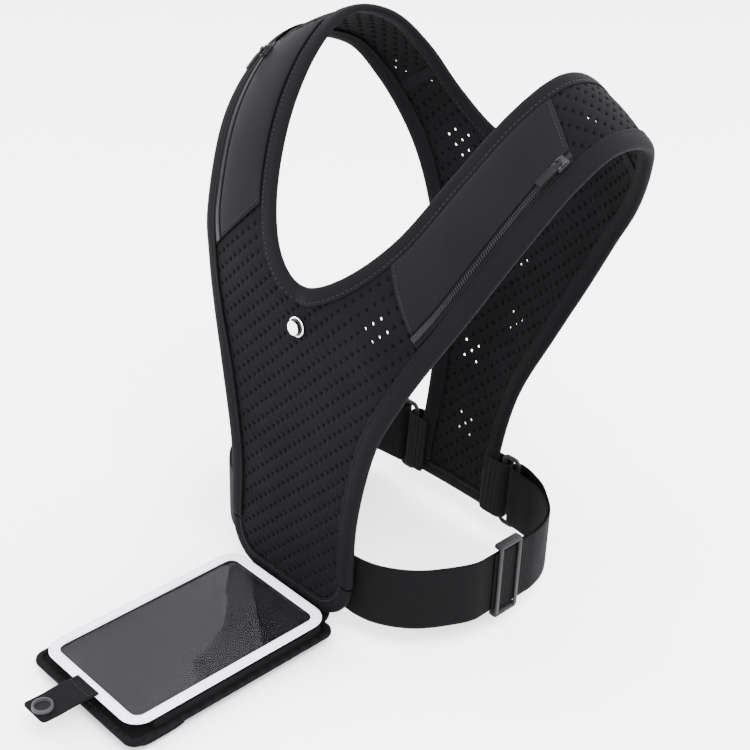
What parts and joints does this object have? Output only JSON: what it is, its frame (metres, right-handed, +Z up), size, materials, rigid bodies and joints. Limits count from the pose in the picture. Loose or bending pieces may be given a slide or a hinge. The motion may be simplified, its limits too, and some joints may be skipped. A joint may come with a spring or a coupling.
{
  "type": "safety harness vest",
  "caption": "Running harness vest in perforated neoprene with a flip-down phone pouch, zipped strap pockets and an adjustable elastic waist belt",
  "frame": {"origin": "midway between the shoulders, at the height where the straps rest on them", "axes": "the wearer faces -Y, the wearer's left side is +X, and +Z is up"},
  "size_m": [0.2946, 0.4419, 0.3824],
  "materials": {
    "neoprene": "perforated neoprene with a knitted face, matt black",
    "stretch_fabric": "smooth stretch knit with a slight sheen, black",
    "binding": "folded elastic tape, black",
    "webbing": "woven elastic webbing, black",
    "zip_chain": "moulded coil on tape, black",
    "zip_metal": "painted black",
    "pull_cord": "moulded soft pull, black",
    "snap_metal": "polished",
    "buckle_plastic": "moulded, fine texture, black",
    "socket_plastic": "translucent grey",
    "reflective_border": "light reflective tape",
    "clear_film": "clear flexible film"
  },
  "bodies": {
    "vest": {"chest_panel": "neoprene", "left_shoulder_strap": "neoprene", "right_shoulder_strap": "neoprene", "back_panel": "neoprene", "left_strap_pocket": "stretch_fabric", "right_strap_pocket": "stretch_fabric", "left_zip_chain": "zip_chain", "right_zip_chain": "zip_chain", "left_armhole_binding": "binding", "right_armhole_binding": "binding", "neck_binding": "binding", "tongue_hem": "binding", "back_hem": "binding", "snap_stud": "snap_metal", "stud_cap": "snap_metal", "belt_anchor": "webbing", "left_belt": "webbing", "right_belt": "webbing", "left_ring_loop": "webbing", "right_ring_loop": "webbing"},
    "pouch": {"pouch_back": "neoprene", "pouch_window": "clear_film", "pouch_border": "reflective_border", "pouch_rear_pocket": "stretch_fabric", "hinge_tape": "binding", "tab_root": "webbing"},
    "tab": {"snap_tab": "webbing", "snap_socket": "socket_plastic", "socket_cap": "buckle_plastic"},
    "left_zip": {"left_zip_slider": "zip_metal"},
    "right_zip": {"right_zip_slider": "zip_metal"},
    "left_pull": {"left_zip_pull": "pull_cord"},
    "right_pull": {"right_zip_pull": "pull_cord"},
    "left_ring_body": {"left_ring": "buckle_plastic"},
    "right_ring_body": {"right_ring": "buckle_plastic"},
    "left_adjuster": {"left_belt_slider": "buckle_plastic"},
    "right_adjuster": {"right_belt_slider": "buckle_plastic"}
  },
  "joints": [
    {"name": "pouch_flip", "type": "hinge", "parent": "vest", "child": "pouch", "pos_m": [0, -0.151, -0.341], "axis": [-1, 0, 0], "range_deg": [0, 92.3]},
    {"name": "tab_fold", "type": "hinge", "parent": "pouch", "child": "tab", "pos_m": [0, -0.3215, -0.3434], "axis": [1, 0, 0], "range_deg": [0, 75]},
    {"name": "left_zip_travel", "type": "hinge", "parent": "vest", "child": "left_zip", "pos_m": [0.04997, 0.04926, -0.13803], "axis": [0.882, 0.1908, -0.4309], "range_deg": [0, 29]},
    {"name": "left_pull_swing", "type": "hinge", "parent": "left_zip", "child": "left_pull", "pos_m": [0.13321, -0.05409, -0.0127], "axis": [-0.9195, -0.129, 0.3713], "range_deg": [0, 150]},
    {"name": "left_ring_swivel", "type": "hinge", "parent": "vest", "child": "left_ring_body", "pos_m": [0.046, 0.0258, -0.32], "axis": [0, 0, 1], "range_deg": [-8, 8]},
    {"name": "left_adjuster_slide", "type": "slide", "parent": "vest", "child": "left_adjuster", "axis": [0, 1, 0], "range_m": [-0.012, 0.012]},
    {"name": "right_zip_travel", "type": "hinge", "parent": "vest", "child": "right_zip", "pos_m": [-0.04997, 0.04926, -0.13803], "axis": [0.882, -0.1908, 0.4309], "range_deg": [0, 29]},
    {"name": "right_pull_swing", "type": "hinge", "parent": "right_zip", "child": "right_pull", "pos_m": [-0.13321, -0.05409, -0.0127], "axis": [-0.9195, 0.129, -0.3713], "range_deg": [0, 150]},
    {"name": "right_ring_swivel", "type": "hinge", "parent": "vest", "child": "right_ring_body", "pos_m": [-0.046, 0.0258, -0.32], "axis": [0, 0, 1], "range_deg": [-8, 8]},
    {"name": "right_adjuster_slide", "type": "slide", "parent": "vest", "child": "right_adjuster", "axis": [0, 1, 0], "range_m": [-0.012, 0.012]}
  ]
}
